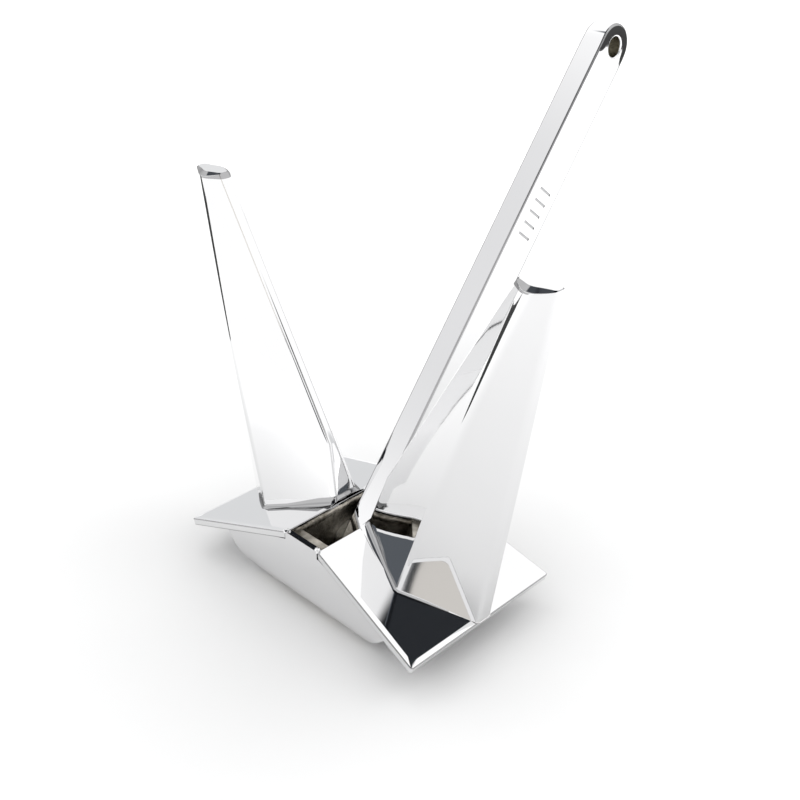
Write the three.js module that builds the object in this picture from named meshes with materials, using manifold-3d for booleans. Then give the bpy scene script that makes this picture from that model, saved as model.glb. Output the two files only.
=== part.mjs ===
// A hall-type boat anchor in mirror-polished stainless steel: a hollow welded crown with two
// tripping palms and two hollow flukes, and a flat bar shank that swings on a pin in the crown.
// Millimetres, +Z up, +X across the crown from fluke to fluke, and the shank leans towards +Y.
// The origin is the centre of the flat underside that the crown stands on.

import * as THREE from 'three';
import { mergeVertices } from 'three/addons/utils/BufferGeometryUtils.js';
import Module from 'manifold-3d';

// ---- Driving dimensions ----

const GAP = 0.3;                    // between pieces that touch
const SLOPE = THREE.MathUtils.degToRad(18);

const CROWN_HEIGHT = 69.5;          // underside of the crown to the palms' inner top edges
const CROWN_HALF_DEPTH = 68;        // centre to the outside of the front or back wall
const CROWN_FLAT = 37;              // centre to where the bottom starts to curve up
const CROWN_END_RADIUS = 80;        // of the bottom's upward curve at each end
const CROWN_EDGE_RADIUS = 19;       // along the bottom of the front and back walls
const CROWN_WALL = 5;

const SLOT_HALF_WIDTH = 19.3;
const PALM_THICKNESS = 7;
const PALM_WIDTH = 124;             // along the slope
const PALM_INNER_HALF_DEPTH = 67.4;
const PALM_OUTER_HALF_DEPTH = 80;

const CHEEK_THICKNESS = 6;
const PIVOT_HEIGHT = 30;
const PIN_RADIUS = 10;
const PIN_CLEARANCE = 0.3;
const RUNNING_CLEARANCE = 0.1;
const RING_RADIUS = 17;             // spacers and pin collars
const COLLAR_LENGTH = 7;

const SHANK_WIDTH = 38.4;
const SHANK_THICKNESS = 21.8;
const SHANK_LENGTH = 475.5;         // pin centre to eye centre
const SHANK_LEAN = THREE.MathUtils.degToRad(38.2);
const SHANK_CHAMFER = 1.2;
const EYE_RADIUS = 8.5;
const STOP_TOP = CROWN_HEIGHT - 4;  // top of the stop bars
const STOP_HEIGHT = 10;

const FLUKE_HEIGHT = 254.5;         // palms' inner top edges to the fluke tips
const FLUKE_BEND = 48;              // height at which the inner ridge turns outwards
const INNER_HALF_DEPTH = 5.5;       // of the flat along the inner ridge, above the bend
const INNER_FLARE = 0.16;           // widening of that flat for each unit below the bend
const INNER_LEAN_BELOW = 0.31;      // outward run of the inner ridge for each unit of height
const INNER_LEAN_ABOVE = 0.59;
const RIDGE_START = 87.8;           // centre to the front and back ridges, at the palms' top
const RIDGE_LEAN = 0.327;
const RIDGE_HALF_DEPTH = 39.4;
const RIDGE_TAPER = 15.2;           // lost by the half depth up to the tip
const RIDGE_BOW = 9.8;              // lost as well, more and more towards the tip
const OUTER_START = 144.5;          // centre to the outer face
const OUTER_LEAN = 0.176;
const OUTER_HALF_DEPTH = 7;
const OUTER_TAPER = 2.5;
const FLUKE_WALL = 5;
const FLUKE_BASE_RADIUS = 5;        // of the long edges at the palm
const FLUKE_TIP_RADIUS = 9;         // of the long edges at the tip
const FLUKE_STATIONS = 9;
const LEAST_RADIUS = 0.5;
const MOST_OF_HALF = 0.9;           // of a side's half that a corner's arc may take up
const TIP_THICKNESS = 5;

const ROUND_SIDES = 48;
const CURVE_STEPS = 8;              // along a quarter turn of the crown's outlines
const CORNER_STEPS = 3;             // round a fluke's long edge
const MERGE_DISTANCE = 1e-4;
const REACH = 500;                  // past the outside of everything, for cutting
const LEFT = -1;
const RIGHT = 1;

// ---- Solids ----

const wasm = await Module();
wasm.setup();

function solidFrom(geometry) {
  const bare = geometry.clone();
  bare.deleteAttribute('normal');
  bare.deleteAttribute('uv');
  const merged = mergeVertices(bare, MERGE_DISTANCE);
  return new wasm.Manifold(new wasm.Mesh({
    numProp: 3,
    vertProperties: new Float32Array(merged.attributes.position.array),
    triVerts: new Uint32Array(merged.index.array),
  }));
}

function geometryFrom(solid) {
  const mesh = solid.getMesh();
  const geometry = new THREE.BufferGeometry();
  geometry.setAttribute('position', new THREE.BufferAttribute(mesh.vertProperties, 3));
  geometry.setIndex(new THREE.BufferAttribute(mesh.triVerts, 1));
  geometry.computeVertexNormals();
  return geometry;
}

// Which way a ring of points turns, seen from the ring that follows it.
function turnsOutward(ring, following) {
  const centre = (points) => points.reduce((sum, point) => sum.add(point), new THREE.Vector3())
    .divideScalar(points.length);
  const middle = centre(ring);
  const spoke = (i) => ring[i].clone().sub(middle);
  const turn = ring.reduce(
    (sum, point, i) => sum.add(spoke(i).cross(spoke((i + 1) % ring.length))),
    new THREE.Vector3());
  return turn.dot(centre(following).sub(middle)) > 0;
}

// A closed skin over convex rings that all have the same number of points.
function loft(givenRings) {
  const facing = turnsOutward(givenRings[0], givenRings[1]);
  const rings = facing ? givenRings : givenRings.map((ring) => ring.toReversed());
  const count = rings[0].length;
  const positions = rings.flat().flatMap((point) => [point.x, point.y, point.z]);
  const triangles = [];
  for (let ring = 0; ring < rings.length - 1; ring += 1) {
    for (let i = 0; i < count; i += 1) {
      const next = (i + 1) % count;
      const low = ring * count;
      const high = low + count;
      triangles.push(low + i, low + next, high + next, low + i, high + next, high + i);
    }
  }
  const last = (rings.length - 1) * count;
  for (let i = 1; i < count - 1; i += 1) {
    triangles.push(0, i + 1, i, last, last + i, last + i + 1);
  }
  const geometry = new THREE.BufferGeometry();
  geometry.setAttribute('position', new THREE.Float32BufferAttribute(positions, 3));
  geometry.setIndex(triangles);
  return solidFrom(geometry);
}

function box(lowX, highX, lowY, highY, lowZ, highZ) {
  const geometry = new THREE.BoxGeometry(highX - lowX, highY - lowY, highZ - lowZ);
  geometry.translate((lowX + highX) / 2, (lowY + highY) / 2, (lowZ + highZ) / 2);
  return solidFrom(geometry);
}

// A cylinder along X, centred on the pivot axis.
function pivotCylinder(radius, lowX, highX) {
  const geometry = new THREE.CylinderGeometry(radius, radius, highX - lowX, ROUND_SIDES);
  geometry.rotateZ(Math.PI / 2);
  geometry.translate((lowX + highX) / 2, 0, PIVOT_HEIGHT);
  return solidFrom(geometry);
}

function extrusion(shape, depth) {
  return new THREE.ExtrudeGeometry(
    shape, { depth, bevelEnabled: false, curveSegments: CURVE_STEPS });
}

// Turns an outline drawn in X and Y, with its depth along Z, to lie in Y and Z along X.
const DRAWN_IN_YZ = new THREE.Matrix4().makeBasis(
  new THREE.Vector3(0, 1, 0), new THREE.Vector3(0, 0, 1), new THREE.Vector3(1, 0, 0));

// An outline drawn in Y and Z, pushed out along X.
function alongX(shape, lowX, highX) {
  const geometry = extrusion(shape, highX - lowX);
  geometry.applyMatrix4(DRAWN_IN_YZ);
  geometry.translate(lowX, 0, 0);
  return solidFrom(geometry);
}

// An outline drawn in X and Z, pushed out along Y.
function alongY(shape, lowY, highY) {
  const geometry = extrusion(shape, highY - lowY);
  geometry.rotateX(Math.PI / 2);
  geometry.translate(0, highY, 0);
  return solidFrom(geometry);
}

// ---- Crown ----

// An upright tub outline: flat bottom, round lower corners, open-ended sides.
function tubOutline(halfWidth, bottom, top, radius) {
  const shape = new THREE.Shape();
  shape.moveTo(-halfWidth, top);
  shape.lineTo(-halfWidth, bottom + radius);
  shape.absarc(-halfWidth + radius, bottom + radius, radius, Math.PI, Math.PI * 1.5);
  shape.lineTo(halfWidth - radius, bottom);
  shape.absarc(halfWidth - radius, bottom + radius, radius, Math.PI * 1.5, Math.PI * 2);
  shape.lineTo(halfWidth, top);
  return shape;
}

// The crown's outside shrunk by an even margin on its sides and bottom.
function crownBlock(margin, top) {
  const halfDepth = CROWN_HALF_DEPTH - margin;
  const halfLength = CROWN_FLAT + CROWN_END_RADIUS - margin;
  const section = tubOutline(halfDepth, margin, top, CROWN_EDGE_RADIUS - margin);
  const side = tubOutline(halfLength, margin, CROWN_END_RADIUS * 2, CROWN_END_RADIUS - margin);
  return alongX(section, -halfLength, halfLength).intersect(alongY(side, -halfDepth, halfDepth));
}

// Everything above the palms' undersides, less a drop, and outside the slot.
function palmSpace(side, drop) {
  const inner = SLOT_HALF_WIDTH - GAP;
  const reach = PALM_WIDTH;
  const underside = (x) => CROWN_HEIGHT - (x - SLOT_HALF_WIDTH) * Math.tan(SLOPE)
    - PALM_THICKNESS / Math.cos(SLOPE) - drop;
  const shape = new THREE.Shape();
  shape.moveTo(side * inner, underside(inner));
  shape.lineTo(side * reach, underside(reach));
  shape.lineTo(side * reach, CROWN_HEIGHT * 2);
  shape.lineTo(side * inner, CROWN_HEIGHT * 2);
  return alongY(shape, -REACH, REACH);
}

function belowPalms(solid) {
  return solid.subtract(palmSpace(LEFT, GAP)).subtract(palmSpace(RIGHT, GAP));
}

function crownShell() {
  const hollow = crownBlock(CROWN_WALL, CROWN_HEIGHT + CROWN_WALL);
  return belowPalms(crownBlock(0, CROWN_HEIGHT).subtract(hollow));
}

// The front, bottom and back of the crown, bent from one plate.
function crownWrapper() {
  const seam = CROWN_FLAT - GAP / 2;
  return crownShell().intersect(
    box(-seam, seam, -REACH, REACH, -REACH, REACH));
}

function crownEnd(side) {
  const near = side * (CROWN_FLAT + GAP / 2);
  const far = side * REACH;
  return crownShell().intersect(box(Math.min(near, far), Math.max(near, far),
    -REACH, REACH, -REACH, REACH));
}

// A sloping trapezoid plate whose edge at the slot is upright.
function palm(side) {
  const across = (along, down) => new THREE.Vector2(
    SLOT_HALF_WIDTH + along * Math.cos(SLOPE) - down * Math.sin(SLOPE),
    CROWN_HEIGHT - along * Math.sin(SLOPE) - down * Math.cos(SLOPE));
  const ring = (top, bottom, halfDepth) => [
    new THREE.Vector3(side * top.x, -halfDepth, top.y),
    new THREE.Vector3(side * top.x, halfDepth, top.y),
    new THREE.Vector3(side * bottom.x, halfDepth, bottom.y),
    new THREE.Vector3(side * bottom.x, -halfDepth, bottom.y),
  ];
  const innerTop = across(0, 0);
  const innerBottom = across(PALM_THICKNESS * Math.tan(SLOPE), PALM_THICKNESS);
  const inner = ring(innerTop, innerBottom, PALM_INNER_HALF_DEPTH);
  const outerTop = across(PALM_WIDTH, 0);
  const outerBottom = across(PALM_WIDTH, PALM_THICKNESS);
  const outer = ring(outerTop, outerBottom, PALM_OUTER_HALF_DEPTH);
  return loft([inner, outer]);
}

// A plate beside the slot, fitted into the crown and drilled for the pin.
function cheek(side) {
  const near = side * SLOT_HALF_WIDTH;
  const far = side * (SLOT_HALF_WIDTH + CHEEK_THICKNESS);
  const slab = box(Math.min(near, far), Math.max(near, far),
    -CROWN_HALF_DEPTH, CROWN_HALF_DEPTH, 0, CROWN_HEIGHT);
  const fitted = belowPalms(crownBlock(CROWN_WALL + GAP, CROWN_HEIGHT).intersect(slab));
  return fitted.subtract(pivotCylinder(PIN_RADIUS + PIN_CLEARANCE, -REACH, REACH));
}

// The bar across the slot that the shank comes to rest against.
function stopBar(end) {
  const faceY = (SHANK_WIDTH / 2) * Math.cos(SHANK_LEAN);
  const faceZ = PIVOT_HEIGHT - (SHANK_WIDTH / 2) * Math.sin(SHANK_LEAN);
  const contact = faceY + (STOP_TOP - faceZ) * Math.tan(SHANK_LEAN) + GAP / Math.cos(SHANK_LEAN);
  const inner = end * contact;
  const outer = end * (CROWN_HALF_DEPTH - CROWN_WALL - GAP);
  const halfWidth = SLOT_HALF_WIDTH - GAP;
  return box(-halfWidth, halfWidth, Math.min(inner, outer), Math.max(inner, outer),
    STOP_TOP - STOP_HEIGHT, STOP_TOP);
}

// ---- Pin ----

const CHEEK_OUTSIDE = SLOT_HALF_WIDTH + CHEEK_THICKNESS;
const PIN_HALF_LENGTH = CHEEK_OUTSIDE + GAP + COLLAR_LENGTH;

function pinRing(side, start, length) {
  const near = side * start;
  const far = side * (start + length);
  const low = Math.min(near, far);
  const high = Math.max(near, far);
  return pivotCylinder(RING_RADIUS, low, high)
    .subtract(pivotCylinder(PIN_RADIUS + PIN_CLEARANCE, low - 1, high + 1));
}

function spacer(side) {
  const start = SHANK_THICKNESS / 2 + GAP;
  return pinRing(side, start, SLOT_HALF_WIDTH - GAP - start);
}

function pinCollar(side) {
  return pinRing(side, CHEEK_OUTSIDE + GAP, COLLAR_LENGTH);
}

// ---- Shank ----

// A flat bar with full-round ends, drilled for the pin and for the shackle.
function shankGeometry() {
  const half = SHANK_WIDTH / 2 - SHANK_CHAMFER;
  const shape = new THREE.Shape();
  shape.absarc(0, SHANK_LENGTH, half, 0, Math.PI);
  shape.absarc(0, 0, half, Math.PI, Math.PI * 2);
  const bore = new THREE.Path();
  bore.absarc(0, 0, PIN_RADIUS + RUNNING_CLEARANCE + SHANK_CHAMFER, 0, Math.PI * 2);
  const eye = new THREE.Path();
  eye.absarc(0, SHANK_LENGTH, EYE_RADIUS + SHANK_CHAMFER, 0, Math.PI * 2);
  shape.holes.push(bore, eye);
  const geometry = new THREE.ExtrudeGeometry(shape, {
    depth: SHANK_THICKNESS - SHANK_CHAMFER * 2,
    bevelThickness: SHANK_CHAMFER,
    bevelSize: SHANK_CHAMFER,
    bevelSegments: 1,
    curveSegments: ROUND_SIDES / 2,
  });
  geometry.translate(0, 0, SHANK_CHAMFER - SHANK_THICKNESS / 2);
  geometry.applyMatrix4(DRAWN_IN_YZ);
  return geometryFrom(solidFrom(geometry));
}

// ---- Flukes ----

// Half of a fluke's hexagon at a height above the slot: its inner corner, its front ridge and
// its outer corner, each as distance across from the centre and distance from the mid-plane.
function flukeCorners(height) {
  const belowBend = Math.min(height, FLUKE_BEND);
  const aboveBend = Math.max(height - FLUKE_BEND, 0);
  const rise = height / FLUKE_HEIGHT;
  return {
    inner: new THREE.Vector2(
      SLOT_HALF_WIDTH + GAP + belowBend * INNER_LEAN_BELOW + aboveBend * INNER_LEAN_ABOVE,
      INNER_HALF_DEPTH + (FLUKE_BEND - belowBend) * INNER_FLARE - rise),
    ridge: new THREE.Vector2(
      RIDGE_START + height * RIDGE_LEAN,
      RIDGE_HALF_DEPTH - RIDGE_TAPER * rise - RIDGE_BOW * rise * rise),
    outer: new THREE.Vector2(
      OUTER_START + height * OUTER_LEAN, OUTER_HALF_DEPTH - OUTER_TAPER * rise),
  };
}

function hexagon(corners) {
  const { inner, ridge, outer } = corners;
  return [
    new THREE.Vector2(inner.x, -inner.y),
    new THREE.Vector2(ridge.x, -ridge.y),
    new THREE.Vector2(outer.x, -outer.y),
    new THREE.Vector2(outer.x, outer.y),
    new THREE.Vector2(ridge.x, ridge.y),
    new THREE.Vector2(inner.x, inner.y),
  ];
}

// A counter-clockwise polygon with every side moved inwards.
function inset(points, distance) {
  const lines = points.map((point, i) => {
    const along = points[(i + 1) % points.length].clone().sub(point).normalize();
    const inward = new THREE.Vector2(-along.y, along.x);
    return { origin: point.clone().addScaledVector(inward, distance), along };
  });
  return lines.map((line, i) => {
    const before = lines[(i + lines.length - 1) % lines.length];
    const between = line.origin.clone().sub(before.origin);
    const step = between.cross(line.along) / before.along.cross(line.along);
    return before.origin.clone().addScaledVector(before.along, step);
  });
}

// A polygon's outline with an arc at every corner, smaller where a side is too short for it.
function roundCorners(points, radius, steps) {
  return points.flatMap((corner, i) => {
    const before = points[(i + points.length - 1) % points.length].clone().sub(corner);
    const after = points[(i + 1) % points.length].clone().sub(corner);
    const room = MOST_OF_HALF * Math.min(before.length(), after.length()) / 2;
    before.normalize();
    after.normalize();
    const half = Math.acos(before.dot(after)) / 2;
    const tangent = Math.min(radius / Math.tan(half), room);
    const middle = before.clone().add(after).normalize();
    const centre = corner.clone().addScaledVector(middle, tangent / Math.cos(half));
    const start = corner.clone().addScaledVector(before, tangent).sub(centre);
    const turn = Math.PI - half * 2;
    const arc = [];
    for (let step = 0; step <= steps; step += 1) {
      const angle = (turn * step) / steps;
      arc.push(start.clone().rotateAround(new THREE.Vector2(), angle).add(centre));
    }
    return arc;
  });
}

// The space inside a fluke's faces, shrunk by a margin, from below the palm to a top height.
function flukeBlock(side, margin, top) {
  const bottom = -FLUKE_BEND;
  const heights = [bottom, FLUKE_BEND];
  for (let i = 1; i <= FLUKE_STATIONS; i += 1) {
    heights.push(FLUKE_BEND + ((top - FLUKE_BEND) * i) / FLUKE_STATIONS);
  }
  const rings = heights.map((height) => {
    const rise = Math.max(height / FLUKE_HEIGHT, 0);
    const radius = FLUKE_BASE_RADIUS + (FLUKE_TIP_RADIUS - FLUKE_BASE_RADIUS) * rise * rise;
    const section = inset(hexagon(flukeCorners(height)), margin);
    const outline = roundCorners(section, Math.max(radius - margin, LEAST_RADIUS), CORNER_STEPS);
    const level = CROWN_HEIGHT + height;
    return outline.map((point) => new THREE.Vector3(side * point.x, point.y, level));
  });
  return loft(rings);
}

// Everything on one side of the plane through a fluke's front and back ridges.
function ridgeHalf(side, outward) {
  const low = -FLUKE_BEND * 2;
  const high = FLUKE_HEIGHT * 2;
  const ridgeX = (height) => flukeCorners(height).ridge.x + (outward ? GAP / 2 : -GAP / 2);
  const farX = outward ? REACH : -REACH;
  const shape = new THREE.Shape();
  shape.moveTo(side * ridgeX(low), CROWN_HEIGHT + low);
  shape.lineTo(side * ridgeX(high), CROWN_HEIGHT + high);
  shape.lineTo(side * farX, CROWN_HEIGHT + high);
  shape.lineTo(side * farX, CROWN_HEIGHT + low);
  return alongY(shape, -REACH, REACH);
}

// Everything above a palm's top face.
function abovePalm(side) {
  const top = (x) => CROWN_HEIGHT - (x - SLOT_HALF_WIDTH) * Math.tan(SLOPE) + GAP;
  const far = REACH;
  const shape = new THREE.Shape();
  shape.moveTo(0, top(0));
  shape.lineTo(side * far, top(far));
  shape.lineTo(side * far, CROWN_HEIGHT * 10);
  shape.lineTo(0, CROWN_HEIGHT * 10);
  return alongY(shape, -REACH, REACH);
}

function flukeShell(side, outward) {
  const top = FLUKE_HEIGHT - TIP_THICKNESS - GAP;
  const hollow = flukeBlock(side, FLUKE_WALL, FLUKE_HEIGHT + FLUKE_BEND);
  return flukeBlock(side, 0, top)
    .subtract(hollow)
    .intersect(abovePalm(side))
    .intersect(ridgeHalf(side, outward));
}

function tipCap(side) {
  const low = CROWN_HEIGHT + FLUKE_HEIGHT - TIP_THICKNESS;
  return flukeBlock(side, 0, FLUKE_HEIGHT).intersect(box(-REACH, REACH, -REACH, REACH, low, REACH));
}

// ---- Assembly ----

const POLISHED = { color: 0xe6e7e8, roughness: 0.06, metalness: 1 };
const SATIN = { color: 0xb4b2ae, roughness: 0.35, metalness: 1 };
const AS_WELDED = { color: 0x6e665c, roughness: 0.6, metalness: 1 };

const group = new THREE.Group();

function addMesh(parent, name, geometry, finish) {
  const mesh = new THREE.Mesh(geometry, new THREE.MeshStandardMaterial(finish));
  mesh.name = name;
  parent.add(mesh);
}

function addSolid(name, solid, finish) {
  addMesh(group, name, geometryFrom(solid), finish);
}

addSolid('crown_wrapper', crownWrapper(), POLISHED);
addSolid('front_stop_bar', stopBar(-1), AS_WELDED);
addSolid('back_stop_bar', stopBar(1), AS_WELDED);
addSolid('pivot_pin', pivotCylinder(PIN_RADIUS, -PIN_HALF_LENGTH, PIN_HALF_LENGTH), SATIN);

for (const [word, side] of [['left', LEFT], ['right', RIGHT]]) {
  addSolid(`${word}_crown_end`, crownEnd(side), POLISHED);
  addSolid(`${word}_palm`, palm(side), POLISHED);
  addSolid(`${word}_cheek`, cheek(side), AS_WELDED);
  addSolid(`${word}_spacer`, spacer(side), SATIN);
  addSolid(`${word}_pin_collar`, pinCollar(side), SATIN);
  addSolid(`${word}_fluke_inner_shell`, flukeShell(side, false), POLISHED);
  addSolid(`${word}_fluke_outer_shell`, flukeShell(side, true), POLISHED);
  addSolid(`${word}_fluke_tip`, tipCap(side), POLISHED);
}

// The shank is drawn upright about the pin and leans back to rest on its stop.
const shankPivot = new THREE.Group();
shankPivot.position.set(0, 0, PIVOT_HEIGHT);
shankPivot.rotation.x = -SHANK_LEAN;
addMesh(shankPivot, 'shank', shankGeometry(), POLISHED);
group.add(shankPivot);

export default group;
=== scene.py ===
"""A stockless boat anchor in mirror-polished stainless steel, on a pale studio floor.

Metres, +Z up, +X from the left fluke to the right one, and the bar leans towards +Y at rest.
"""

from math import cos, pi, radians, sin, sqrt, tan

import bpy
from mathutils import Matrix, Vector


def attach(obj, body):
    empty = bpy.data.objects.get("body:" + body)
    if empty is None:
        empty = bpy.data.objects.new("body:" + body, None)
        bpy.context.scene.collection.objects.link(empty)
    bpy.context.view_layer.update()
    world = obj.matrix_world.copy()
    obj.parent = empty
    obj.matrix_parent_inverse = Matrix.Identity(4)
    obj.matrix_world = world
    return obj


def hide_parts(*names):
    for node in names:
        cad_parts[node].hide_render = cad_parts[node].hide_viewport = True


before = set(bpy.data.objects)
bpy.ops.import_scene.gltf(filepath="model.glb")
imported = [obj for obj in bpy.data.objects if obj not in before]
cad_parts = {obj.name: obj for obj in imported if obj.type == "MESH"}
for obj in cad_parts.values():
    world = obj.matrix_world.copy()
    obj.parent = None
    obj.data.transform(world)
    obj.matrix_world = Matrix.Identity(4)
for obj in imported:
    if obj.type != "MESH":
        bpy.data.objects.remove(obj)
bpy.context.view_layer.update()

# Camera and studio. The anchor stands on white paper inside a white tent with soft folds and
# corners, a dark ceiling and dark doorways, so polished faces see white walls and pale paper with
# a few dark shapes in them. Two black cards lie on the paper out of sight.

studio = bpy.context.scene
studio.view_settings.view_transform = "Standard"

camera_data = bpy.data.cameras.new("camera")
camera_data.lens = 49.57
camera_data.clip_end = 60
camera = bpy.data.objects.new("camera", camera_data)
camera.location = (0.5672, -0.5150, 0.5954)
camera.rotation_euler = (radians(61.055), radians(0.327), radians(45.175))
studio.collection.objects.link(camera)
studio.camera = camera


def node(tree, kind, x=0, y=0, **values):
    """A shader node with its settings, and its inputs by name with _ for a space."""
    made = tree.nodes.new(kind)
    made.location = (x, y)
    for key, value in values.items():
        socket = made.inputs.get(key.replace("_", " "))
        if hasattr(made, key):
            setattr(made, key, value)
        elif socket is not None:
            socket.default_value = value
        else:
            raise ValueError(f"{kind} has no {key}")
    return made


def toward(azimuth, elevation):
    """The direction at an azimuth from +Y towards +X and an elevation, in degrees."""
    level = cos(radians(elevation))
    return Vector((level * sin(radians(azimuth)), level * cos(radians(azimuth)),
                   sin(radians(elevation))))


def tent_patch(tree, under, facing, inner, outer, colour):
    """Paints a round patch of the tent, full up to inner degrees from its middle, none at outer."""
    place = 200 * len(tree.nodes)
    view = node(tree, "ShaderNodeTexCoord", place, 0)
    turned = node(tree, "ShaderNodeVectorMath", place + 200, 0, operation="DOT_PRODUCT")
    turned.inputs[1].default_value = facing
    soft = node(tree, "ShaderNodeMapRange", place + 400, 0, interpolation_type="SMOOTHSTEP")
    soft.inputs["From Min"].default_value = cos(radians(outer))
    soft.inputs["From Max"].default_value = cos(radians(inner))
    painted = node(tree, "ShaderNodeMix", place + 600, 200, data_type="RGBA")
    painted.inputs["B"].default_value = (*colour, 1)
    tree.links.new(view.outputs["Generated"], turned.inputs[0])
    tree.links.new(turned.outputs["Value"], soft.inputs["Value"])
    tree.links.new(soft.outputs["Result"], painted.inputs["Factor"])
    tree.links.new(under, painted.inputs["A"])
    return painted.outputs["Result"]


TENT_WHITE = (1.32, 1.32, 1.32)
TENT_FOLD = (0.98, 0.98, 0.99)
TENT_CORNER = (0.86, 0.87, 0.88)
CEILING_EDGE = (0.15, 0.165, 0.185)
CEILING = (0.018, 0.020, 0.024)
DOORWAY = (0.036, 0.040, 0.046)
DOORWAY_LIGHT = (1.02, 0.98, 0.92)

studio.world = bpy.data.worlds.new("tent")
studio.world.use_nodes = True
tent = studio.world.node_tree
wall = node(tent, "ShaderNodeRGB", -200, 0)
wall.outputs["Color"].default_value = (*TENT_WHITE, 1)
inside = wall.outputs["Color"]
tent_patches = (
    (-60, 0, 8, 30, TENT_CORNER),
    (56, 0, 4, 14, TENT_CORNER),
    (-132, 36, 3, 16, TENT_FOLD),
    (165, 74, 25.5, 27, CEILING),
    (-115, 64, 10.5, 12, CEILING_EDGE),
    (-118, -4, 7, 9, DOORWAY),
    (131.5, 30, 7.0, 7.3, DOORWAY),
    (131.5, 30, 6.4, 6.7, DOORWAY_LIGHT),
    (132, 49, 12, 13.5, DOORWAY),
    (84, 22, 9, 12, DOORWAY),
    (116, 20, 7, 9, DOORWAY),
)
for azimuth, elevation, inner, outer, colour in tent_patches:
    inside = tent_patch(tent, inside, toward(azimuth, elevation), inner, outer, colour)
tent.links.new(inside, tent.nodes["Background"].inputs["Color"])

fill_data = bpy.data.lights.new("fill", "SUN")
fill_data.energy = 1.5
fill_data.angle = radians(70)
fill = bpy.data.objects.new("fill", fill_data)
fill.rotation_euler = (radians(18), radians(-12), 0)
fill.visible_glossy = False
studio.collection.objects.link(fill)

side_data = bpy.data.lights.new("side_fill", "AREA")
side_data.energy = 9
side_data.size = 1.2
side_light = bpy.data.objects.new("side_fill", side_data)
side_light.location = (0.75, 1.15, 1.3)
side_light.visible_glossy = False
studio.collection.objects.link(side_light)

bpy.ops.object.select_all(action="DESELECT")
bpy.ops.mesh.primitive_circle_add(vertices=96, radius=7, fill_type="NGON", location=(0, 0, 0))
floor = bpy.context.object
floor.name = "floor"
paper = bpy.data.materials.new("white_paper")
paper.use_nodes = True
paper_shader = paper.node_tree.nodes["Principled BSDF"]
# The paper's colour is painted darker towards the anchor, 0.64 within 0.1 m rising to 0.95 at 0.95
# m: a painted shade round the anchor, which the steel also reflects.
paper_place = node(paper.node_tree, "ShaderNodeTexCoord", -900, 0)
paper_reach = node(paper.node_tree, "ShaderNodeVectorMath", -700, 0, operation="LENGTH")
painted_shade_round_anchor = node(paper.node_tree, "ShaderNodeMapRange", -500, 0)
painted_shade_round_anchor.inputs["From Min"].default_value = 0.1
painted_shade_round_anchor.inputs["From Max"].default_value = 0.95
painted_shade_round_anchor.inputs["To Min"].default_value = 0.64
painted_shade_round_anchor.inputs["To Max"].default_value = 0.95
paper.node_tree.links.new(paper_place.outputs["Object"], paper_reach.inputs[0])
paper.node_tree.links.new(paper_reach.outputs["Value"], painted_shade_round_anchor.inputs["Value"])
paper.node_tree.links.new(painted_shade_round_anchor.outputs["Result"], paper_shader.inputs["Base Color"])
paper_shader.inputs["Roughness"].default_value = 1.0
paper_shader.inputs["Specular IOR Level"].default_value = 0.0
floor.data.materials.append(paper)

black = bpy.data.materials.new("black_card")
black.use_nodes = True
black.node_tree.nodes["Principled BSDF"].inputs["Base Color"].default_value = (0.01, 0.01, 0.01, 1)
black.node_tree.nodes["Principled BSDF"].inputs["Roughness"].default_value = 1.0


CARD_LIFT = 0.002


def black_card(name, corners):
    """A black card lying on the paper out of sight, which only polished steel shows."""
    bpy.ops.object.select_all(action="DESELECT")
    bpy.ops.mesh.primitive_circle_add(vertices=len(corners), radius=1, fill_type="NGON")
    card = bpy.context.object
    card.name = name
    for point, (x, y) in zip(card.data.vertices, corners):
        point.co = (x, y, CARD_LIFT)
    card.visible_camera = False
    card.visible_diffuse = False
    card.visible_shadow = False
    card.data.materials.append(black)


black_card("left_card", ((-0.55, -0.18), (-2.2, -0.16), (-2.2, -2.4), (-1.2, -1.3),
                         (-0.9, -0.86), (-0.58, -0.42)))
black_card("back_card", ((0.57, 1.53), (1.17, 1.99), (1.7, 1.65), (5.1, 4.3),
                         (2.2, 6.4), (0.35, 2.2)))

# Crown. A tub of 5 mm stainless plate that the whole anchor is built on: one plate bent up at the
# front and back, and an end plate rolled up under each palm. Welded, ground flush and polished
# outside, left as it came inside.

SLOPE = radians(18)
SLOT = 0.0193
CROWN_HEIGHT = 0.0695
CROWN_HALF_DEPTH = 0.068
CROWN_FLAT = 0.037
CROWN_END_RADIUS = 0.080
CROWN_EDGE_RADIUS = 0.019
CROWN_WALL = 0.005
PALM_THICKNESS = 0.007
SEATED = 0.0001


def deselect():
    bpy.ops.object.select_all(action="DESELECT")


def block(name, low, high):
    """A cube primitive between two corners."""
    deselect()
    middle = (Vector(low) + Vector(high)) / 2
    bpy.ops.mesh.primitive_cube_add(size=1, location=middle, scale=Vector(high) - Vector(low))
    piece = bpy.context.object
    piece.name = name
    bpy.ops.object.transform_apply(location=True, rotation=True, scale=True)
    return piece


def edit(piece):
    deselect()
    piece.select_set(True)
    bpy.context.view_layer.objects.active = piece
    bpy.ops.object.mode_set(mode="EDIT")


def leave():
    bpy.ops.object.mode_set(mode="OBJECT")


def pick_edges(piece, wanted):
    """Goes into edit mode with just the edges whose middle and direction are wanted."""
    edit(piece)
    bpy.ops.mesh.select_mode(type="EDGE")
    bpy.ops.mesh.select_all(action="DESELECT")
    leave()
    points = piece.data.vertices
    for edge in piece.data.edges:
        start, end = (points[i].co for i in edge.vertices)
        edge.select = wanted((start + end) / 2, (end - start).normalized())
    edit(piece)


def carve(piece, tool, operation="DIFFERENCE"):
    """Cuts a piece with a tool, or joins the two, and throws the tool away."""
    change = piece.modifiers.new("carve", "BOOLEAN")
    change.operation = operation
    change.solver = "EXACT"
    change.object = tool
    bpy.context.view_layer.objects.active = piece
    bpy.ops.object.modifier_apply(modifier=change.name)
    bpy.data.objects.remove(tool)


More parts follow.
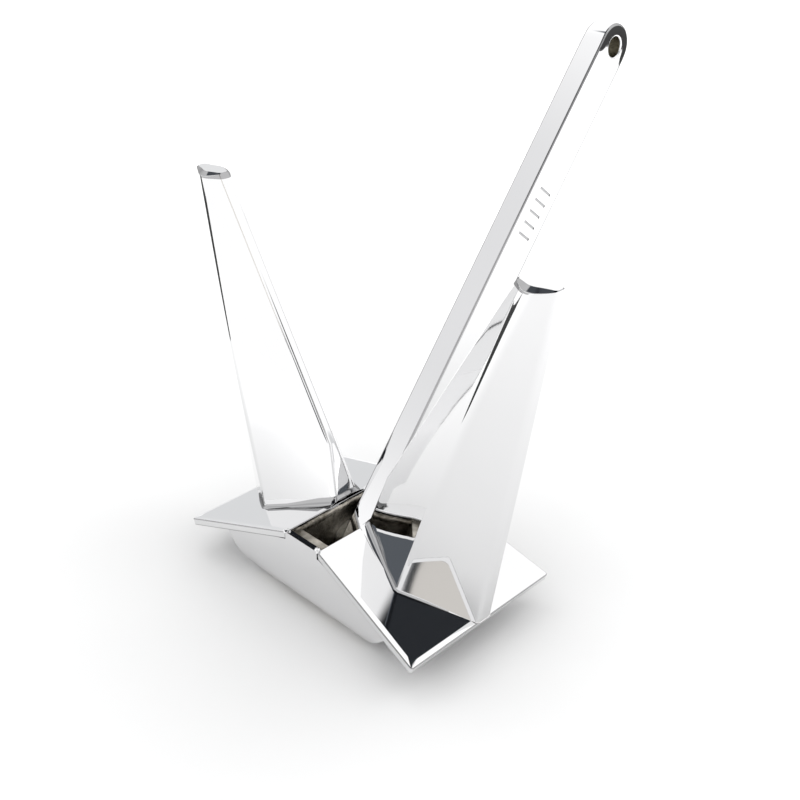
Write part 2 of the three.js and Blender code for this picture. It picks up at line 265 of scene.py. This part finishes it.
def trim(piece, point, normal):
    """Cuts away what lies beyond a plane and closes the cut."""
    edit(piece)
    bpy.ops.mesh.select_all(action="SELECT")
    bpy.ops.mesh.bisect(plane_co=point, plane_no=normal, use_fill=True, clear_outer=True)
    leave()


def round_edges(piece, radius, steps, least_angle):
    """Rounds every edge that is sharper than an angle."""
    change = piece.modifiers.new("round", "BEVEL")
    change.width = radius
    change.segments = steps
    change.limit_method = "ANGLE"
    change.angle_limit = radians(least_angle)
    change.use_clamp_overlap = True
    bpy.context.view_layer.objects.active = piece
    bpy.ops.object.modifier_apply(modifier=change.name)


def true_faces(piece, sharp=40):
    """Smooth shading that keeps flat plate flat right up to its rounded edges."""
    deselect()
    piece.select_set(True)
    bpy.context.view_layer.objects.active = piece
    bpy.ops.object.shade_smooth_by_angle(angle=radians(sharp))
    change = piece.modifiers.new("true", "WEIGHTED_NORMAL")
    change.keep_sharp = True
    change.weight = 100
    bpy.ops.object.modifier_apply(modifier=change.name)


def tub(name, margin, top):
    """The crown's outside, shrunk by a margin at the sides and bottom."""
    depth = CROWN_HALF_DEPTH - margin
    length = CROWN_FLAT + CROWN_END_RADIUS - margin
    body = block(name, (-length, -depth, margin), (length, depth, top))
    pick_edges(body, lambda middle, way: abs(way.x) > 0.9 and middle.z < margin + 0.001)
    bpy.ops.mesh.bevel(offset=CROWN_EDGE_RADIUS - margin, segments=16)
    leave()
    ends = block("ends", (-length, -1, margin), (length, 1, 1))
    pick_edges(ends, lambda middle, way: abs(way.y) > 0.9 and middle.z < margin + 0.001)
    bpy.ops.mesh.bevel(offset=CROWN_END_RADIUS - margin, segments=48)
    leave()
    carve(body, ends, "INTERSECT")
    return body


def palm_underside(x):
    return CROWN_HEIGHT - (abs(x) - SLOT) * tan(SLOPE) - PALM_THICKNESS / cos(SLOPE)


def palm_space(side):
    """Everything above a palm's underside, for trimming what is welded below it."""
    low, high = sorted((side * SLOT, side * 0.5))
    space = block("space", (low, -1, 0), (high, 1, 1))
    for point in space.data.vertices:
        if point.co.z < 0.5:
            point.co.z = palm_underside(point.co.x) + SEATED
    return space


crown = tub("crown", 0, CROWN_HEIGHT)
carve(crown, tub("hollow", CROWN_WALL, CROWN_HEIGHT + CROWN_WALL))
for side in (-1, 1):
    carve(crown, palm_space(side))
round_edges(crown, 0.0012, 3, 35)


def buffed_steel(name, tint, waviness, roughness, rim=1.0):
    """Stainless steel buffed to a mirror: faint hairlines, haze and a slow ripple in the plate."""
    steel = bpy.data.materials.new(name)
    steel.use_nodes = True
    tree = steel.node_tree
    shader = tree.nodes["Principled BSDF"]
    shader.inputs["Metallic"].default_value = 1.0
    # A rim below 1 darkens the reflection at grazing angles; the edge steel uses this as painted
    # darkening.
    shader.inputs["Specular Tint"].default_value = (rim, rim, rim, 1)
    place = node(tree, "ShaderNodeTexCoord", -1200, 0)

    haze = node(tree, "ShaderNodeTexNoise", -900, 300, Scale=14.0, Detail=4.0)
    colour = node(tree, "ShaderNodeMix", -500, 400, data_type="RGBA")
    colour.inputs["A"].default_value = (*[c * 0.96 for c in tint], 1)
    colour.inputs["B"].default_value = (*tint, 1)

    drawn = node(tree, "ShaderNodeMapping", -1050, 0)
    drawn.inputs["Scale"].default_value = (300, 300, 40)
    hairlines = node(tree, "ShaderNodeTexNoise", -900, 0, Scale=6.0, Detail=6.0, Roughness=0.7)
    gloss = node(tree, "ShaderNodeMapRange", -500, 100)
    gloss.inputs["To Min"].default_value = roughness * 0.6
    gloss.inputs["To Max"].default_value = roughness * 1.5

    ripple = node(tree, "ShaderNodeTexNoise", -900, -300, Scale=16.0, Detail=1.0)
    slow = node(tree, "ShaderNodeBump", -500, -300, Strength=1.0, Distance=waviness)
    fine = node(tree, "ShaderNodeBump", -300, -200, Strength=1.0, Distance=0.0000006)

    link = tree.links.new
    link(place.outputs["Object"], haze.inputs["Vector"])
    link(place.outputs["Object"], drawn.inputs["Vector"])
    link(place.outputs["Object"], ripple.inputs["Vector"])
    link(drawn.outputs["Vector"], hairlines.inputs["Vector"])
    link(haze.outputs["Fac"], colour.inputs["Factor"])
    link(colour.outputs["Result"], shader.inputs["Base Color"])
    link(hairlines.outputs["Fac"], gloss.inputs["Value"])
    link(gloss.outputs["Result"], shader.inputs["Roughness"])
    link(ripple.outputs["Fac"], slow.inputs["Height"])
    link(slow.outputs["Normal"], fine.inputs["Normal"])
    link(hairlines.outputs["Fac"], fine.inputs["Height"])
    link(fine.outputs["Normal"], shader.inputs["Normal"])
    return steel


def raw_steel(name, dark, light, roughness):
    """Steel as it was welded: brown heat tint and scale, pitted and dull."""
    steel = bpy.data.materials.new(name)
    steel.use_nodes = True
    tree = steel.node_tree
    shader = tree.nodes["Principled BSDF"]
    shader.inputs["Metallic"].default_value = 1.0
    place = node(tree, "ShaderNodeTexCoord", -1200, 0)

    tint = node(tree, "ShaderNodeTexNoise", -900, 300, Scale=45.0, Detail=8.0, Roughness=0.65)
    blotches = node(tree, "ShaderNodeValToRGB", -700, 300)
    blotches.color_ramp.elements[0].position = 0.35
    blotches.color_ramp.elements[0].color = (*dark, 1)
    blotches.color_ramp.elements[1].position = 0.68
    blotches.color_ramp.elements[1].color = (*light, 1)

    gloss = node(tree, "ShaderNodeMapRange", -500, 0)
    gloss.inputs["To Min"].default_value = roughness * 0.7
    gloss.inputs["To Max"].default_value = roughness * 1.3
    pits = node(tree, "ShaderNodeTexNoise", -900, -300, Scale=150.0, Detail=6.0, Roughness=0.65)
    relief = node(tree, "ShaderNodeBump", -500, -300, Strength=0.9, Distance=0.0012)

    link = tree.links.new
    link(place.outputs["Object"], tint.inputs["Vector"])
    link(place.outputs["Object"], pits.inputs["Vector"])
    link(tint.outputs["Fac"], blotches.inputs["Fac"])
    link(blotches.outputs["Color"], shader.inputs["Base Color"])
    link(pits.outputs["Fac"], gloss.inputs["Value"])
    link(gloss.outputs["Result"], shader.inputs["Roughness"])
    link(pits.outputs["Fac"], relief.inputs["Height"])
    link(relief.outputs["Normal"], shader.inputs["Normal"])
    return steel


BRIGHT = (0.775, 0.775, 0.78)
buffed_plate = buffed_steel("buffed_plate", BRIGHT, 0.00002, 0.03)
# The edge steel is painted at half the plate's brightness, and its grazing reflection is darkened
# (rim 0.3): a painted dark reflection that outlines the rounded edges. Its higher roughness is its
# own, and on the bar's engraved strokes the dark is the marks' own colour.
painted_dark_edge_and_strokes = buffed_steel("painted_dark_edge_and_strokes", (0.38, 0.38, 0.385), 0.00002, 0.08, 0.3)
weld_scale = raw_steel("weld_scale", (0.13, 0.115, 0.09), (0.66, 0.62, 0.55), 0.36)


def settle(piece, body, slot, nodes, *materials):
    """Gives a finished piece its materials, its body and the CAD nodes it stands for."""
    piece.data.materials.clear()
    for material in materials:
        piece.data.materials.append(material)
    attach(piece, body)
    if nodes:
        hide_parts(*nodes)


def copy_of(piece, name):
    """A copy with its own mesh."""
    twin = piece.copy()
    twin.data = piece.data.copy()
    twin.name = name
    studio.collection.objects.link(twin)
    return twin


def inside_crown(point):
    """On the unpolished inner skin, or on the plate's cut edge in the slot."""
    deep = abs(point.y) < CROWN_HALF_DEPTH - 0.6 * CROWN_WALL
    return deep and point.z > 0.6 * CROWN_WALL and not end_skin(point)


def end_skin(point):
    """On the outside of the rolled ends."""
    x = abs(point.x) - CROWN_FLAT
    if x < 0:
        return False
    return sqrt(x * x + (CROWN_END_RADIUS - min(point.z, CROWN_END_RADIUS)) ** 2) > (
        CROWN_END_RADIUS - 0.6 * CROWN_WALL)


crown_parts = (
    ("crown_plate", "crown_wrapper", ((1, CROWN_FLAT), (-1, CROWN_FLAT))),
    ("left_end_plate", "left_crown_end", ((1, -CROWN_FLAT),)),
    ("right_end_plate", "right_crown_end", ((-1, -CROWN_FLAT),)),
)
for name, stands_for, cuts in crown_parts:
    part = copy_of(crown, name)
    for way, reach in cuts:
        trim(part, (way * reach, 0, 0), (way, 0, 0))
    true_faces(part)
    settle(part, "crown", "polished_plate", [stands_for], buffed_plate, weld_scale)
    for face in part.data.polygons:
        face.material_index = 1 if inside_crown(face.center) else 0
bpy.data.objects.remove(crown)

# Palms. Two trapezoid plates, 7 mm thick, that slope down from the slot and tip the flukes into
# the ground. Plasma-cut, dressed round the edges and buffed, so that a border falls away from the
# flat of each face. The rounded edges are painted a darker steel for the dark reflections along
# them.

PALM_WIDTH = 0.124
PALM_INNER_HALF_DEPTH = 0.0674
PALM_OUTER_HALF_DEPTH = 0.080
PALM_BORDER = 0.0042
PALM_FALL = 0.00062
PALM_TURN = 0.0008
PALM_EDGE = 0.0009
PALM_CORNER = 0.0022
PALM_SOFT_CORNER = 0.0052
PALM_FLAT_CORNER = 0.0060
PALM_SOFT_INSET = 0.003
FLAT_FACING = 0.97
SQUARE_FACING = 0.1
CORNER_STEPS = 8
FLAT_STEPS = 6


def outline(corners, radii, grow):
    """A convex outline moved outwards by grow, each corner rounded, as a list of points."""
    count = len(corners)
    ways = [(corners[(i + 1) % count] - corners[i]).normalized() for i in range(count)]
    moved = []
    for i, corner in enumerate(corners):
        before, after = ways[i - 1], ways[i]
        outward = Vector((before.y + after.y, -before.x - after.x))
        moved.append(corner + outward * grow / (1 + before.dot(after)))
    points = []
    for i, corner in enumerate(moved):
        to_last, to_next = moved[i - 1] - corner, moved[(i + 1) % count] - corner
        room = 0.45 * min(to_last.length, to_next.length)
        to_last.normalize()
        to_next.normalize()
        half = to_last.angle(to_next) / 2
        reach = min(radii[i] / tan(half), room)
        middle = corner + (to_last + to_next).normalized() * reach / cos(half)
        start = corner + to_last * reach - middle
        turn = pi - 2 * half
        for step in range(CORNER_STEPS + 1):
            points.append(middle + Matrix.Rotation(turn * step / CORNER_STEPS, 2) @ start)
    loop = []
    for i, point in enumerate(points):
        loop.append(point)
        if i % (CORNER_STEPS + 1) == CORNER_STEPS:
            following = points[(i + 1) % len(points)]
            loop += [point.lerp(following, step / FLAT_STEPS) for step in range(1, FLAT_STEPS)]
    return loop


def folded_skin(name, rings, side):
    """A sheet primitive wrapped round a stack of rings, closed at both ends."""
    count = len(rings[0])
    deselect()
    bpy.ops.mesh.primitive_grid_add(x_subdivisions=count, y_subdivisions=len(rings) - 1, size=1)
    skin = bpy.context.object
    skin.name = name
    for i, point in enumerate(skin.data.vertices):
        ring, place = divmod(i, count + 1)
        x, y, z = rings[ring][place % count]
        point.co = (side * x, y, z)
    skin.location = (0, 0, 0)
    edit(skin)
    bpy.ops.mesh.select_mode(type="VERT")
    bpy.ops.mesh.select_all(action="SELECT")
    bpy.ops.mesh.remove_doubles(threshold=0.000002)
    bpy.ops.mesh.select_all(action="DESELECT")
    bpy.ops.mesh.select_non_manifold()
    bpy.ops.mesh.edge_face_add()
    bpy.ops.mesh.select_all(action="SELECT")
    bpy.ops.mesh.normals_make_consistent(inside=False)
    leave()
    return skin


def palm_ring(down, grow, radius):
    """The palm's outline at a depth below the top of its slope."""
    inner = down * tan(SLOPE)
    corners = [Vector((inner, -PALM_INNER_HALF_DEPTH)), Vector((PALM_WIDTH, -PALM_OUTER_HALF_DEPTH)),
               Vector((PALM_WIDTH, PALM_OUTER_HALF_DEPTH)), Vector((inner, PALM_INNER_HALF_DEPTH))]
    ring = []
    for along, y in outline(corners, [radius] * 4, grow):
        x = SLOT + along * cos(SLOPE) - down * sin(SLOPE)
        ring.append(Vector((x, y, CROWN_HEIGHT - along * sin(SLOPE) - down * cos(SLOPE))))
    return ring


def palm_rings():
    """From the middle of the top, over the border and the edge, to the underside."""
    rings = [palm_ring(0, -PALM_BORDER - PALM_TURN, PALM_FLAT_CORNER)]
    rings.append(palm_ring(0.00003, -PALM_BORDER, PALM_SOFT_CORNER))
    for step in range(7):
        turn = step / 6 * pi / 2
        inward = PALM_EDGE * (1 - sin(turn))
        down = PALM_FALL + PALM_EDGE * (1 - cos(turn))
        rings.append(palm_ring(down, -inward, PALM_CORNER - inward))
    for step in range(7):
        turn = step / 6 * pi / 2
        inward = PALM_EDGE * (1 - cos(turn))
        down = PALM_THICKNESS - PALM_EDGE * (1 - sin(turn))
        rings.append(palm_ring(down, -inward, PALM_CORNER - inward))
    rings.append(palm_ring(PALM_THICKNESS, -PALM_SOFT_INSET, PALM_SOFT_CORNER))
    return rings


for word, side in (("left", -1), ("right", 1)):
    plate = folded_skin(f"{word}_palm_plate", palm_rings(), side)
    true_faces(plate, 60)
    settle(plate, "crown", "polished_plate", [f"{word}_palm"], buffed_plate, painted_dark_edge_and_strokes)
    upward = Vector((side * sin(SLOPE), 0, cos(SLOPE)))
    for face in plate.data.polygons:
        # Faces on the rounded border and edges get the darker edge steel, painted dark to stand in
        # for the dark reflections along the edges.
        face.material_index = int(SQUARE_FACING < abs(face.normal.dot(upward)) < FLAT_FACING)

# Flukes. Two hollow horns, each folded from two 5 mm plates into a six-sided taper, welded along
# the front and back ridges, capped at the tip, ground round and buffed all over. A ground fillet
# weld joins each one to its palm, and the weld round the cap is ground to a bevel.

FLUKE_HEIGHT = 0.2545
FLUKE_BEND = 0.048
INNER_RADIUS = 0.0060
RIDGE_RADIUS = 0.0065
RIDGE_TIP_RADIUS = 0.0115
OUTER_RADIUS = 0.0050
TIP_BEVEL = 0.0046
TIP_TILT = radians(54)
TIP_TURN = 0.0009
SLOT_FILLET = 0.0068
FILLET = 0.0034
EDGE_FILLET = 0.0004
SLOT_FILLET_END = 0.060
EDGE_FILLET_START = 0.100
FILLET_BLEND = 0.025
FILLET_DARK_PAINT_END = 0.12
FILLET_DARK_PAINT_HEIGHT = 0.012
TIP_DARK_PAINT_HEIGHT = 0.0065
STATIONS = 14


def horn_corners(height):
    """The six corners of a horn's section, counter-clockwise, at a height above the slot's edge."""
    below = min(height, FLUKE_BEND)
    above = max(height - FLUKE_BEND, 0)
    rise = height / FLUKE_HEIGHT
    inner = (SLOT + 0.0003 + 0.31 * below + 0.59 * above,
             0.0055 + 0.16 * (FLUKE_BEND - below) - 0.001 * rise)
    ridge = (0.0878 + 0.327 * height, 0.0394 - 0.0152 * rise - 0.0098 * rise * abs(rise))
    outer = (0.1445 + 0.176 * height, 0.007 - 0.0025 * rise)
    front = [Vector((x, -y)) for x, y in (inner, ridge, outer)]
    back = [Vector((x, y)) for x, y in (outer, ridge, inner)]
    return front + back


def horn_section(height, grow):
    rise = max(height / FLUKE_HEIGHT, 0)
    ridge = RIDGE_RADIUS + (RIDGE_TIP_RADIUS - RIDGE_RADIUS) * rise
    front = [max(radius + grow, 0.0005) for radius in (INNER_RADIUS, ridge, OUTER_RADIUS)]
    return outline(horn_corners(height), front + front[::-1], grow)


def palm_top(x):
    return CROWN_HEIGHT - (x - SLOT) * tan(SLOPE)


def level_ring(height, grow=0.0):
    return [Vector((p.x, p.y, CROWN_HEIGHT + height)) for p in horn_section(height, grow)]


def ring_on_palm(clearance, grow):
    """The skin at a clearance above the palm, both counted in radii of the fillet weld."""
    ring = []
    for i in range(6 * (CORNER_STEPS + FLAT_STEPS)):
        height = 0
        for _ in range(6):
            radius = FILLET
            point = horn_section(height, grow * radius)[i]
            near = min(max((SLOT_FILLET_END - point.x) / FILLET_BLEND, 0), 1)
            far = min(max((point.x - EDGE_FILLET_START) / FILLET_BLEND, 0), 1)
            radius += (SLOT_FILLET - FILLET) * near + (EDGE_FILLET - FILLET) * far
            point = horn_section(height, grow * radius)[i]
            height = palm_top(point.x) + clearance * radius - CROWN_HEIGHT
        ring.append(Vector((max(point.x, SLOT), point.y, CROWN_HEIGHT + height - SEATED)))
    return ring


def tip_profile():
    """How far in and how far down the bevel round the cap runs, from the wall to the flat."""
    sweep = [TIP_TILT * step / 4 for step in range(5)]
    places = [(TIP_TURN * (1 - cos(turn)), TIP_TURN * sin(turn)) for turn in sweep]
    inward, upward = places[-1]
    inward += TIP_BEVEL * sin(TIP_TILT)
    upward += TIP_BEVEL * cos(TIP_TILT)
    for step in range(5):
        turn = TIP_TILT + (pi / 2 - TIP_TILT) * step / 4
        places.append((inward + TIP_TURN * (cos(TIP_TILT) - cos(turn)),
                       upward + TIP_TURN * (sin(turn) - sin(TIP_TILT))))
    return places


def tip_ring(inward, downward):
    """A ring of the bevel, widest at the front and back and dying out at the two ends."""
    wall, flat = horn_section(FLUKE_HEIGHT, 0), horn_section(FLUKE_HEIGHT, -inward)
    low, high = min(point.x for point in wall), max(point.x for point in wall)
    ring = []
    for i, point in enumerate(wall):
        share = 0.14 + 0.86 * max(sin(pi * (point.x - low) / (high - low)), 0) ** 0.8
        drop = downward * share
        start = horn_section(FLUKE_HEIGHT - drop, 0)[i]
        x, y = start.lerp(flat[i], share)
        ring.append(Vector((x, y, CROWN_HEIGHT + FLUKE_HEIGHT - drop)))
    return ring


def horn_rings():
    rings = []
    for step in range(7):
        turn = step / 6 * pi / 2
        rings.append(ring_on_palm(1 - cos(turn), 1 - sin(turn)))
    rings.append(level_ring(FLUKE_BEND))
    tip = tip_profile()
    top = tip[-1][1]
    straight = FLUKE_HEIGHT - top - 0.001 - FLUKE_BEND
    for i in range(1, STATIONS):
        rings.append(level_ring(FLUKE_BEND + straight * i / (STATIONS - 1)))
    rings += [tip_ring(inward, top - upward) for inward, upward in tip]
    return rings


def horn_painted_dark_edge(face):
    """The bevel and the fillet get the edge steel, rougher as from a flap wheel and painted darker
    for the dark reflections there; else buffed.
    """
    x, height = abs(face.center.x), face.center.z - CROWN_HEIGHT
    if height > FLUKE_HEIGHT - TIP_DARK_PAINT_HEIGHT:
        return int(0.25 < face.normal.z < FLAT_FACING)
    above_palm = (height + (x - SLOT) * tan(SLOPE)) * cos(SLOPE)
    on_fillet = above_palm < FILLET_DARK_PAINT_HEIGHT and face.normal.z > 0.25
    return int(on_fillet and x < FILLET_DARK_PAINT_END)


rings = horn_rings()
for word, side in (("left", -1), ("right", 1)):
    horn = folded_skin(f"{word}_fluke", rings, side)
    true_faces(horn, 50)
    stands_for = [f"{word}_fluke_{part}" for part in ("inner_shell", "outer_shell", "tip")]
    settle(horn, "crown", "polished_plate", stands_for, buffed_plate, painted_dark_edge_and_strokes)
    for face in horn.data.polygons:
        face.material_index = horn_painted_dark_edge(face)

# Shank. One flat bar with full-round ends, bored for the pivot pin and for the shackle, its edges
# eased, five short strokes engraved on its right side and the whole bar buffed. It swings on the
# pin between the two stop bars.

PIVOT = Vector((0, 0, 0.030))
SHANK_WIDTH = 0.0384
SHANK_THICKNESS = 0.0218
SHANK_LENGTH = 0.4755
SHANK_LEAN = radians(38.2)
SHANK_EDGE = 0.0014
SHANK_RIM = 0.0073
SHANK_FALL = 0.00042
PIN_BORE = 0.0101
EYE_RADIUS = 0.0085
MARK_HEIGHT = 0.318
MARK_PITCH = 0.0105
MARK_REACH = 0.0085
MARK_WIDTH = 0.0022
MARK_DEPTH = 0.0004


def bar_ring(across, inward):
    """The bar's outline drawn in by inward, across the thickness; the eye end falls to its rim."""
    half = SHANK_WIDTH / 2 - inward
    round_end = [pi * step / 48 - pi / 2 for step in range(49)]
    straight = (0.004, 0.009, 0.015, 0.023, 0.035)
    loop = [(half * sin(turn), SHANK_LENGTH + half * cos(turn)) for turn in round_end]
    loop += [(half, SHANK_LENGTH - down) for down in straight]
    loop += [(-half * sin(turn), -half * cos(turn)) for turn in round_end]
    loop += [(-half, SHANK_LENGTH - down) for down in reversed(straight)]
    ring = []
    for y, z in loop:
        near = min(max((z - SHANK_LENGTH + 0.012) / 0.016, 0), 1)
        fall = SHANK_FALL * near * near * (3 - 2 * near) * max(1 - inward / SHANK_RIM, 0) ** 1.5
        ring.append(Vector((across - fall if across > 0 else across + fall, y, z)))
    return ring


flat_side = SHANK_THICKNESS / 2
side_rings = [bar_ring(-flat_side, inward)
              for inward in (SHANK_RIM, 0.0060, 0.0048, 0.0038, 0.0028, 0.002)]
for step in range(5):
    turn = step / 4 * pi / 2
    side_rings.append(bar_ring(SHANK_EDGE * (1 - cos(turn)) - flat_side,
                               SHANK_EDGE * (1 - sin(turn))))
side_rings += [[Vector((-x, y, z)) for x, y, z in ring] for ring in reversed(side_rings)]
bar = folded_skin("shank_bar", side_rings, 1)


def drill(piece, centre, radius, length):
    """Bores a round hole along X."""
    deselect()
    bpy.ops.mesh.primitive_cylinder_add(vertices=72, radius=radius, depth=length,
                                        location=centre, rotation=(0, pi / 2, 0))
    drill_bit = bpy.context.object
    bpy.ops.object.transform_apply(location=True, rotation=True, scale=True)
    carve(piece, drill_bit)


drill(bar, (0, 0, 0), PIN_BORE, 0.1)
drill(bar, (0, 0, SHANK_LENGTH), EYE_RADIUS, 0.1)
round_edges(bar, SHANK_EDGE, 4, 40)
for stroke in range(5):
    z = MARK_HEIGHT + (stroke - 2) * MARK_PITCH
    cutter = block("stroke", (flat_side - MARK_DEPTH, -MARK_REACH, z - MARK_WIDTH / 2),
                   (flat_side + 0.001, MARK_REACH, z + MARK_WIDTH / 2))
    carve(bar, cutter)
lean = Matrix.Translation(PIVOT) @ Matrix.Rotation(-SHANK_LEAN, 4, "X")
bar.data.transform(lean)
true_faces(bar, 60)
worn_bore = raw_steel("worn_bore", (0.07, 0.065, 0.045), (0.24, 0.215, 0.155), 0.42)
buffed_bar = buffed_steel("buffed_bar", BRIGHT, 0.00002, 0.03)
settle(bar, "shank", "polished_bar", ["shank"], buffed_bar, painted_dark_edge_and_strokes, worn_bore)
lengthwise = Vector((0, sin(SHANK_LEAN), cos(SHANK_LEAN)))
for face in bar.data.polygons:
    spot = face.center - PIVOT
    along = spot.dot(lengthwise)
    from_eye = (spot - lengthwise * SHANK_LENGTH).yz.length
    nearest = lengthwise * min(max(along, 0), SHANK_LENGTH)
    near_rim = (spot - nearest).yz.length > SHANK_WIDTH / 2 - 0.0021
    on_edge = near_rim and abs(face.normal.x) > 0.15
    in_stroke = flat_side - 0.001 < spot.x < flat_side - 0.0001 and abs(along - MARK_HEIGHT) < 0.03
    in_bore = abs(face.normal.x) < 0.1 and from_eye < EYE_RADIUS + 0.0005
    # Eased edges get the darker edge steel, painted dark to stand in for the dark reflections along
    # them; the engraved strokes take it as their own dark mark.
    face.material_index = 2 if in_bore else int(on_edge or in_stroke)

# Inside. Two cheeks drilled for the pin, the pin with its spacers and welded collars, and a stop
# bar at each end of the slot, with a weld bead along each side and a tack weld at each corner.
# Nobody polishes in here: the plates keep their weld scale and the pin and rings are as turned.

BEAD = 0.0032
BEAD_PITCH = 0.0042
BEAD_HALF_LENGTH = 0.058
TACK_SIZE = (0.0034, 0.0026, 0.0019)
TACK_ACROSS = 0.0188
TACK_ALONG = 0.0660
TACK_SINK = 0.0004
TACK_TURN = 0.6


def bead_rings():
    """A hand-laid weld along the slot, heaped up in ripples."""
    rings = []
    for step in range(98):
        y = BEAD_HALF_LENGTH * (step / 48.5 - 1)
        ripple = abs(sin(pi * y / BEAD_PITCH)) ** 0.6
        wander = 0.5 * sin(410 * y) + 0.3 * sin(171 * y + 1)
        end = min(1, (1 - abs(step / 48.5 - 1)) * 14 + 0.35)
        radius = BEAD * (0.80 + 0.14 * ripple + 0.10 * wander) * end
        ring = []
        for i in range(18):
            turn = 2 * pi * i / 18
            lump = 1 + 0.05 * sin(3 * turn + 290 * y)
            ring.append(Vector((SLOT + 0.0008 + radius * lump * cos(turn), y,
                                CROWN_HEIGHT - 0.0062 + 1.15 * radius * lump * sin(turn))))
        rings.append(ring)
    return rings


for word, side in (("left", -1), ("right", 1)):
    bead = folded_skin(f"{word}_slot_weld", bead_rings(), side)
    true_faces(bead, 70)
    settle(bead, "crown", "as_welded_steel", [], weld_scale)

deselect()
bpy.ops.mesh.primitive_ico_sphere_add(subdivisions=4, radius=1)
nugget = bpy.context.object
for point in nugget.data.vertices:
    x, y, z = point.co
    lump = 1 + 0.10 * sin(4 * x + 3 * y) + 0.07 * sin(7 * z - 5 * x) + 0.04 * sin(13 * y)
    point.co = [lump * size * along for size, along in zip(TACK_SIZE, (x, y, z))]
for word, side in (("left", -1), ("right", 1)):
    for end, way in (("front", -1), ("back", 1)):
        weld = copy_of(nugget, f"{word}_{end}_tack")
        corner = (side * TACK_ACROSS, way * TACK_ALONG, CROWN_HEIGHT - TACK_SINK)
        turned = Matrix.Rotation(TACK_TURN * side * way, 4, "Z")
        weld.data.transform(Matrix.Translation(corner) @ turned)
        true_faces(weld, 70)
        settle(weld, "crown", "polished_plate", [], buffed_plate)
bpy.data.objects.remove(nugget)

turned_steel = raw_steel("turned_steel", (0.42, 0.41, 0.39), (0.62, 0.61, 0.59), 0.3)
for word in ("left", "right"):
    for part, material in (("cheek", weld_scale), ("spacer", turned_steel),
                           ("pin_collar", turned_steel)):
        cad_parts[f"{word}_{part}"].data.materials.clear()
        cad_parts[f"{word}_{part}"].data.materials.append(material)
for name, material in (("front_stop_bar", weld_scale), ("back_stop_bar", weld_scale),
                       ("pivot_pin", turned_steel)):
    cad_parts[name].data.materials.clear()
    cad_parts[name].data.materials.append(material)
